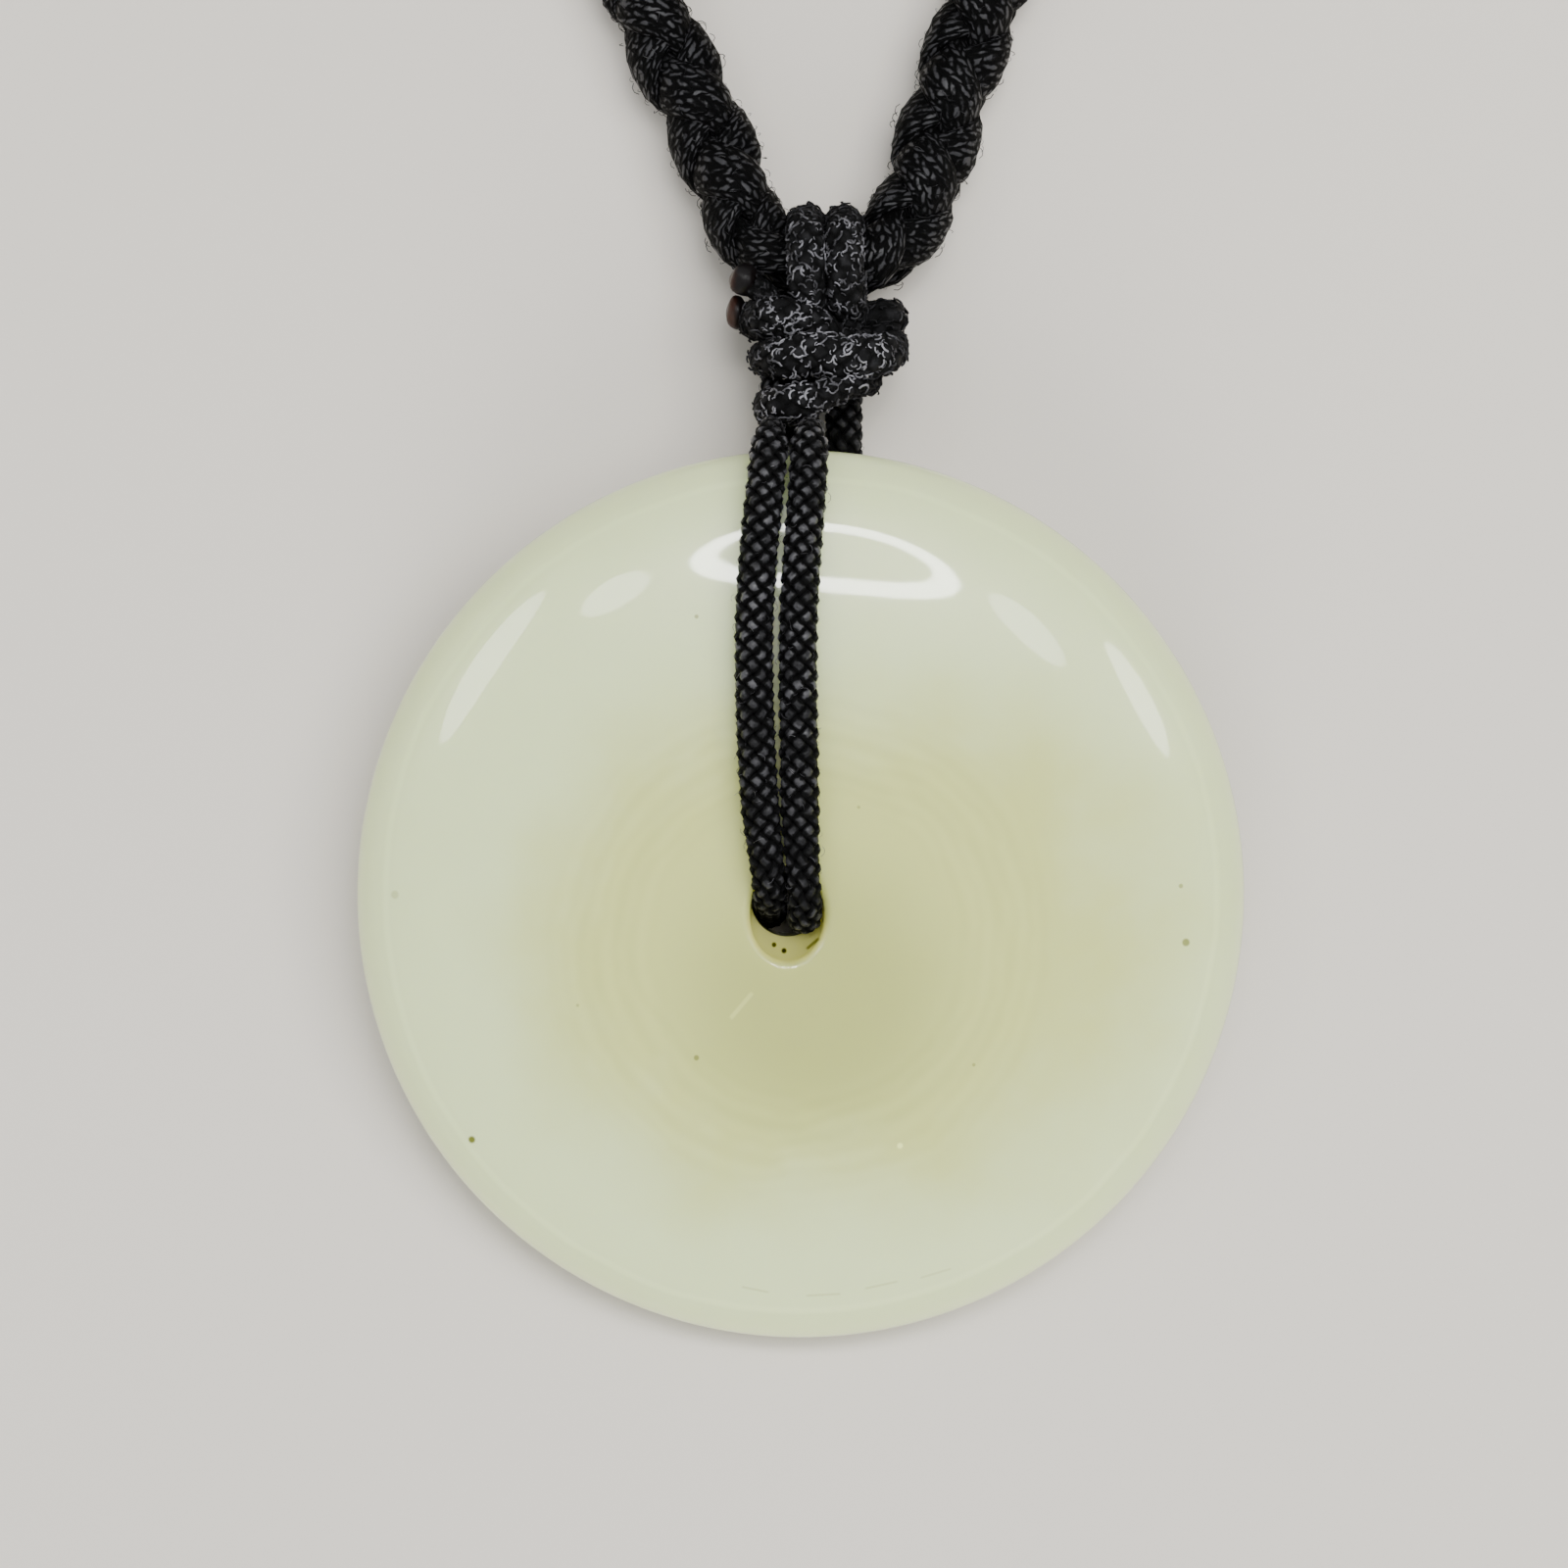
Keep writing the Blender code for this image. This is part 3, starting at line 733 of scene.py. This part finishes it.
def cord_material(name, colour, dark, gloss, cell_length=0.0, shine=1.0):
    """The yarns' raised tops painted up to this colour as a painted sheen and the gaps between painted this
    dark as painted shade; a cell length makes it woven.
    """
    made, g, shader = new_material(name)
    ring = g.node("ShaderNodeAttribute", {"attribute_name": "ring"}, out="Vector")
    along = g.node("ShaderNodeAttribute", {"attribute_name": "along"}, out="Fac")
    lift = g.node("ShaderNodeAttribute", {"attribute_name": "lift"}, out="Fac")
    fray = g.node("ShaderNodeAttribute", {"attribute_name": "fray"}, out="Fac")
    ring_x, ring_y, _ = g.split(ring)
    thread_place = g.node("ShaderNodeCombineXYZ", {}, {0: ring_x * 14.0, 1: ring_y * 14.0, 2: along * 0.7})
    threads = g.noise(thread_place, 2.2, 3.0, 0.6)
    spot = g.node("ShaderNodeTexCoord", out="Object")
    _, up, height = g.split(spot)
    fluff = g.noise(spot, 4200.0, 3.0, 0.7)
    if cell_length:
        turned = g.maths("ARCTAN2", ring_y, ring_x)
        stray = g.noise(spot, 900.0, 2.0, 0.6) - 0.5
        columns = turned * (WOVEN_COLUMNS / (2 * math.pi)) + WOVEN_COLUMNS / 2 + stray * 1.4
        column = g.maths("FLOOR", columns)
        within = g.maths("FRACT", columns)
        lean = 1.0 - g.maths("MODULO", column, 2.0) * 2.0
        rows = along / cell_length + lean * (within - 0.5) * 0.8 + column * 0.37 + stray * 1.8
        row = g.maths("FRACT", rows)
        cell = g.maths("SINE", row * math.pi) * g.maths("SINE", within * math.pi)
        patchy = g.step(g.noise(spot, 1500.0, 2.0, 0.6), 0.36, 0.66)
        relief = threads * 0.35 + fluff * 0.3 + cell * (patchy * 0.8 + 0.4)
        # Painted sheen on the woven cells' raised middles, painted shade in the gaps.
        tone = g.step(relief, 0.58, 1.12) * (g.step(lift, -0.9, 0.6) * 0.6 + 0.4)
    else:
        beside = g.maths("ABSOLUTE", ring_y)
        relief = threads * 0.6 + fluff * 0.5
        patchy = g.step(g.noise(spot, 700.0, 2.0, 0.6), 0.40, 0.62)
        stray = g.noise(spot, 1900.0, 2.0, 0.6) - 0.5
        # Painted sheen on the raised middles of the yarns' crossings; the sides between stay dark as
        # painted shade.
        facet = g.step(lift + stray * 1.8, 0.30, 0.85) * g.step(beside + stray * 0.8, 0.40, 0.18)
        tone = facet * (relief * 0.9 + 0.1) * (patchy * 1.5 + 0.45) * shine
        # Painted shade low down and round the hole, where less light reaches the strands.
        bright = (g.step(up, *BRIGHT_UP) * 0.5 + 0.5) * (g.step(height, *BRIGHT_HEIGHT) * 0.6 + 0.4)
        tone = tone * bright
    # Painted highlight: the loose fibres are lighter on the knot's top, where light falls.
    lit_top = g.step(height, *LIT_TOP_HEIGHT) * (g.step(up, *LIT_TOP_UP) * 0.6 + 0.4)
    tone = tone + fray * fluff * (patchy * 2.6 + 0.6) * (lit_top * 0.93 + 0.07)
    # From the painted shade of the gaps to the painted sheen and highlights on the tops.
    body = g.blend(tone, (dark, dark, dark), colour)
    g.feed(shader.inputs["Base Color"], body)
    g.feed(shader.inputs["Coat Weight"], tone * gloss)
    g.feed(shader.inputs["Normal"], g.node("ShaderNodeBump", {}, {
        "Strength": 0.8, "Distance": 0.00015, "Height": relief}))
    shader.inputs["Roughness"].default_value = 0.6
    shader.inputs["Specular IOR Level"].default_value = 0.06
    shader.inputs["Coat Roughness"].default_value = 0.38
    shader.inputs["Coat IOR"].default_value = 1.5
    return made


def shared(name, make):
    """The data block of that name, made the first time it is asked for."""
    for group in (bpy.data.materials, bpy.data.node_groups):
        if name in group:
            return group[name]
    made = make()
    made.name = name
    return made


def bail_values(cords):
    """The braid's settings for the bail's strands."""
    thick = cords.bail_diameter
    colour = tuple(cords.colour)
    return {
        "Path radius": thick * 0.345, "Wave": thick * 0.075, "Yarns each way": cords.bail_yarns,
        "Turn": cords.bail_turn, "Yarn width": thick * 0.28, "Yarn thickness": thick * 0.18,
        "Step": cords.bail_turn / 30, "Yarn sides": 6, "Fibres near": 0.4e6, "Fibres far": 0.4e6,
        "Fibre size": 0.00022, "Fibre thickness": 0.05, "Fibre stand": 1.0, "Roughen": 0.00008, "Seed": 1,
        "Material": shared(
            "black_bail_cord", lambda: cord_material("black_bail_cord", colour, 0.0040, 1.0)
        ),
    }


class PENDANT_OT_bail_strands(bpy.types.Operator):
    """Adds the bail's two braided strands, over the face, down the hole and back under the disc"""

    bl_idname = "pendant.bail_strands"
    bl_label = "Bail Strands"

    def execute(self, context):
        cords = context.scene.pendant_cords
        tree = shared("Limp braid", lambda: braid_tree(upright=False))
        for name, route, node in (
            ("bail_strand_left", LEFT_STRAND, "bail_cord_left"),
            ("bail_strand_right", RIGHT_STRAND, "bail_cord_right"),
        ):
            into_knot = [(x, KNOT_INSIDE, z) for x, _, z in (route[0], route[-1])]
            line = smooth_line([into_knot[0], *route, into_knot[1]], LINE_STEP)
            over_face = line[:, 2] > OVER_FACE
            squeezed = np.clip((line[:, 1] - KNOT_EDGE) / SQUEEZE_LENGTH, 0, 1) * over_face
            in_hole = np.clip((HOLE_EDGE - line[:, 1]) / HOLE_EDGE, 0, 1)
            shares = 1 - KNOT_SQUEEZE * squeezed - HOLE_SQUEEZE * in_hole
            obj = braided(name, [(line, shares)], tree, bail_values(cords))
            link_piece(obj, "black_cord", node)
        return {"FINISHED"}


class PENDANT_OT_bail_knot(bpy.types.Operator):
    """Adds the bail's knot, the two strands over the rope, and the melted cord ends"""

    bl_idname = "pendant.bail_knot"
    bl_label = "Bail Knot"

    def execute(self, context):
        cords = context.scene.pendant_cords
        tree = shared("Limp braid", lambda: braid_tree(upright=False))
        lines = []
        for route in WRAPS:
            line = smooth_line([*route, *route[:2]], LINE_STEP)
            lines.append((line[:, :3], line[:, 3] / cords.bail_diameter))
        for aside in LOBE_STEPS:
            line = smooth_line([(x + aside, y, z) for x, y, z in LOBE_ROUTE], LINE_STEP)
            lines.append((line, [LOBE_THICKNESS] * len(line)))
        stub = smooth_line(STUB, LINE_STEP)
        lines.append((stub, [STUB_THICKNESS] * len(stub)))
        obj = braided("bail_knot_wraps", lines, tree, {**bail_values(cords), **cords.worn()})
        link_piece(obj, "black_cord", "bail_knot", "bail_lobe_left", "bail_lobe_right")
        link_piece(melted_ends(), "black_cord")
        return {"FINISHED"}


def melted_ends():
    """The cord's two cut ends, singed to beads that are amber at their left."""
    made, g, shader = new_material("singed_cord_end")
    spot = g.node("ShaderNodeTexCoord", out="Object")
    across = g.split(spot)[0] + g.noise(spot, 1500.0) * 0.0005
    amber = g.step(across, -0.0033, -0.0040)
    g.feed(shader.inputs["Base Color"], g.blend(amber, (0.003, 0.002, 0.002), (0.032, 0.007, 0.0014)))
    shader.inputs["Roughness"].default_value = 0.38
    shader.inputs["Specular IOR Level"].default_value = 0.3
    mesh = bpy.data.meshes.new("bail_melted_ends")
    rows, sides = 12, 20
    points, faces = [], []
    for middle, sizes in BEADS:
        first = len(points)
        points.append((middle[0], middle[1] + sizes[1], middle[2]))
        for i in range(1, rows):
            lift = math.pi * i / rows
            for k in range(sides):
                turn = 2 * math.pi * k / sides
                dent = 1 + 0.10 * math.sin(3 * turn + 2 * lift) + 0.06 * math.sin(5 * turn - 3 * lift)
                points.append((
                    middle[0] + sizes[0] * dent * math.sin(lift) * math.cos(turn),
                    middle[1] + sizes[1] * math.cos(lift),
                    middle[2] + sizes[2] * dent * math.sin(lift) * math.sin(turn),
                ))
        points.append((middle[0], middle[1] - sizes[1], middle[2]))
        last = len(points) - 1
        for k in range(sides):
            nxt = (k + 1) % sides
            faces.append((first, first + 1 + k, first + 1 + nxt))
            faces.append((last, last - sides + nxt, last - sides + k))
            for i in range(rows - 2):
                row = first + 1 + i * sides
                faces.append((row + k, row + sides + k, row + sides + nxt, row + nxt))
    mesh.from_pydata(points, [], faces)
    mesh.shade_smooth()
    mesh.materials.append(made)
    return bpy.data.objects.new("bail_melted_ends", mesh)


def coil_line():
    """The rope's wound turns, clockwise from the coil's left side to its right side."""
    turns = np.array([row[0] for row in COIL_TRACK])
    points = []
    for at in np.arange(0, COIL_TRACK[-1][0] + 0.001, 1 / 24):
        i = min(np.searchsorted(turns, at, side="right") - 1, len(turns) - 2)
        share = (at - turns[i]) / (turns[i + 1] - turns[i])
        share = share * share * (3 - 2 * share)
        radius, height = (
            COIL_TRACK[i][k] + (COIL_TRACK[i + 1][k] - COIL_TRACK[i][k]) * share for k in (1, 2)
        )
        angle = math.pi - 2 * math.pi * at
        points.append((
            COIL_CENTRE[0] + radius * math.cos(angle), COIL_CENTRE[1] + radius * math.sin(angle), height
        ))
    return points


class PENDANT_OT_rope(bpy.types.Operator):
    """Adds the endless four-strand rope: its two legs and the length wound in a neat coil"""

    bl_idname = "pendant.rope"
    bl_label = "Necklace Rope"

    def execute(self, context):
        cords = context.scene.pendant_cords
        tree = shared("Lying braid", lambda: braid_tree(upright=True))
        line = smooth_line([*ROPE_LEFT_LEG, *coil_line(), *ROPE_RIGHT_LEG], ROPE_STEP)
        away = np.linalg.norm(line - np.array(ROPE_LEFT_LEG[0]), axis=1)
        shares = 1 - ROPE_PINCH * np.clip(1 - (away - PINCH_REACH) / PINCH_FADE, 0, 1)
        strand = cords.rope_diameter * STRAND_SHARE
        colour = [share * ROPE_TONE for share in cords.colour]
        values = {
            "Path radius": strand * 0.60, "Wave": strand * 0.20, "Yarns each way": 2,
            "Turn": cords.rope_turn, "Yarn width": strand * 1.58, "Yarn thickness": strand * 0.86,
            "Step": cords.rope_turn / 20, "Yarn sides": 14, "Fibres near": 0.9e6, "Fibres far": 0.1e6,
            "Fibre size": 0.00028, "Fibre thickness": 0.07, "Fibre stand": 1.0, "Roughen": 0.0002,
            "Seed": 2, "Material": shared(
                "black_rope", lambda: cord_material("black_rope", colour, 0.0011, 0.6, cell_length=0.55)
            ),
        }
        obj = braided("necklace_braid", [(line, shares)], tree, values)
        link_piece(obj, "black_cord", "necklace_rope", "necklace_coil")
        return {"FINISHED"}


# Lamps: name, degrees round and off the stone's axis, distance, size, watts, seen in the polish.
LAMPS = (
    ("wide_lamp", 30, 25, 0.60, (0.50, 0.50), 3.8, False),
    ("low_fill", 265, 55, 0.60, (0.40, 0.40), 2.8, False),
    ("left_window", 145, 39.5, 0.45, (0.142, 0.083), 0.24, True),
    ("left_pane", 123, 27.5, 0.45, (0.047, 0.055), 0.055, True),
    ("right_pane", 47, 27, 0.45, (0.064, 0.047), 0.06, True),
    ("right_window", 28, 40.5, 0.45, (0.10, 0.07), 0.19, True),
)
# The ring of light: where it stands, as for a lamp, and its strength.
RING_LAMP, RING_STRENGTH = (85, 25, 0.45), 34.0
SENSOR_WIDTH = 36.0
FLOOR_REACH = 1.5


class PENDANT_OT_stage(bpy.types.Operator):
    """Adds the camera, square on to the disc's face, the plain floor and the soft lamps"""

    bl_idname = "pendant.stage"
    bl_label = "Studio Stage"

    def execute(self, context):
        stage = context.scene.pendant_stage
        place = stone_place(context.scene.pendant_stone)
        scene = context.scene

        lens = bpy.data.cameras.new("camera")
        lens.sensor_width = SENSOR_WIDTH
        lens.lens = SENSOR_WIDTH * stage.camera_distance / stage.view_width
        lens.clip_start = 0.01
        camera = bpy.data.objects.new("camera", lens)
        spot = Vector((*stage.view_centre, stage.camera_distance))
        camera.matrix_world = place @ Matrix.Translation(spot)
        scene.collection.objects.link(camera)
        scene.camera = camera

        floor_mesh = bpy.data.meshes.new("floor")
        corners = [(x * FLOOR_REACH, y * FLOOR_REACH, 0) for x, y in ((-1, -1), (1, -1), (1, 1), (-1, 1))]
        floor_mesh.from_pydata(corners, [], [(0, 1, 2, 3)])
        finish, _, shader = new_material("plain_floor")
        shader.inputs["Base Color"].default_value = (*stage.floor_colour, 1.0)
        shader.inputs["Roughness"].default_value = 0.85
        shader.inputs["Specular IOR Level"].default_value = 0.2
        floor_mesh.materials.append(finish)
        floor = bpy.data.objects.new("floor", floor_mesh)
        scene.collection.objects.link(floor)

        for name, azimuth, tilt, distance, size, power, seen in LAMPS:
            self.lamp(name, self.aim(place, azimuth, tilt, distance), size, power * stage.light, seen)
        self.ring_lamp(self.aim(place, *RING_LAMP), RING_STRENGTH * stage.light)

        world = bpy.data.worlds.new("soft_room")
        world.use_nodes = True
        sky = world.node_tree.nodes["Background"]
        sky.inputs["Color"].default_value = (0.93, 0.97, 1.0, 1.0)
        sky.inputs["Strength"].default_value = 0.57 * stage.light
        scene.world = world
        return {"FINISHED"}

    def aim(self, place, azimuth, tilt, distance):
        """A frame that looks at the stone's middle from a direction given on the stone."""
        around, lean = math.radians(azimuth), math.radians(tilt)
        out = math.sin(lean)
        away = Vector((out * math.cos(around), out * math.sin(around), math.cos(lean)))
        spot = place @ (away * distance)
        turn = (spot - place.translation).to_track_quat("Z", "Y")
        return Matrix.Translation(spot) @ turn.to_matrix().to_4x4()

    def lamp(self, name, stand, size, power, seen):
        """A soft lamp; one that isn't seen in the polish only lights."""
        data = bpy.data.lights.new(name, "AREA")
        data.shape = "ELLIPSE"
        data.size, data.size_y = size
        data.energy = power
        made = bpy.data.objects.new(name, data)
        made.matrix_world = stand
        made.visible_glossy = seen
        bpy.context.scene.collection.objects.link(made)

    def ring_lamp(self, stand, strength):
        """A ring of light whose image lies on the disc's upper shoulder."""
        across, up, band, sides = 0.083, 0.055, 0.018, 64
        points, faces = [], []
        for k in range(sides):
            turn = 2 * math.pi * k / sides
            for inset in (0, band):
                points.append(((across - inset) * math.cos(turn), (up - inset) * math.sin(turn), 0))
            nxt = (k + 1) % sides
            faces.append((2 * k, 2 * k + 1, 2 * nxt + 1, 2 * nxt))
        mesh = bpy.data.meshes.new("ring_lamp")
        mesh.from_pydata(points, [], faces)
        mesh.transform(stand)
        finish, _, shader = new_material("ring_lamp_light")
        shader.inputs["Base Color"].default_value = (0, 0, 0, 1)
        shader.inputs["Emission Color"].default_value = (1, 1, 1, 1)
        shader.inputs["Emission Strength"].default_value = strength
        mesh.materials.append(finish)
        made = bpy.data.objects.new("ring_lamp", mesh)
        made.visible_camera = False
        bpy.context.scene.collection.objects.link(made)


class PENDANT_PT_panel(bpy.types.Panel):
    bl_label = "Jade Ring Pendant"
    bl_idname = "PENDANT_PT_panel"
    bl_space_type = "VIEW_3D"
    bl_region_type = "UI"
    bl_category = "Pendant"

    def draw(self, context):
        for place, _ in SETTINGS:
            settings = getattr(context.scene, place)
            box = self.layout.box()
            for name in settings.__annotations__:
                box.prop(settings, name)
        for operator in OPERATORS:
            self.layout.operator(operator.bl_idname)


OPERATORS = (
    PENDANT_OT_bail_knot, PENDANT_OT_bail_strands, PENDANT_OT_rope, PENDANT_OT_stone, PENDANT_OT_stage
)
SETTINGS = (
    ("pendant_stone", StoneSettings), ("pendant_cords", CordSettings), ("pendant_stage", StageSettings)
)


def register():
    for name, settings in SETTINGS:
        bpy.utils.register_class(settings)
        setattr(bpy.types.Scene, name, PointerProperty(type=settings))
    for each in (*OPERATORS, PENDANT_PT_panel):
        bpy.utils.register_class(each)


def unregister():
    for each in reversed((*OPERATORS, PENDANT_PT_panel)):
        bpy.utils.unregister_class(each)
    for name, settings in reversed(SETTINGS):
        delattr(bpy.types.Scene, name)
        bpy.utils.unregister_class(settings)


def main():
    register()
    bpy.ops.pendant.bail_knot()
    bpy.ops.pendant.bail_strands()
    bpy.ops.pendant.rope()
    bpy.ops.pendant.stone()
    bpy.ops.pendant.stage()


if __name__ == "__main__":
    main()
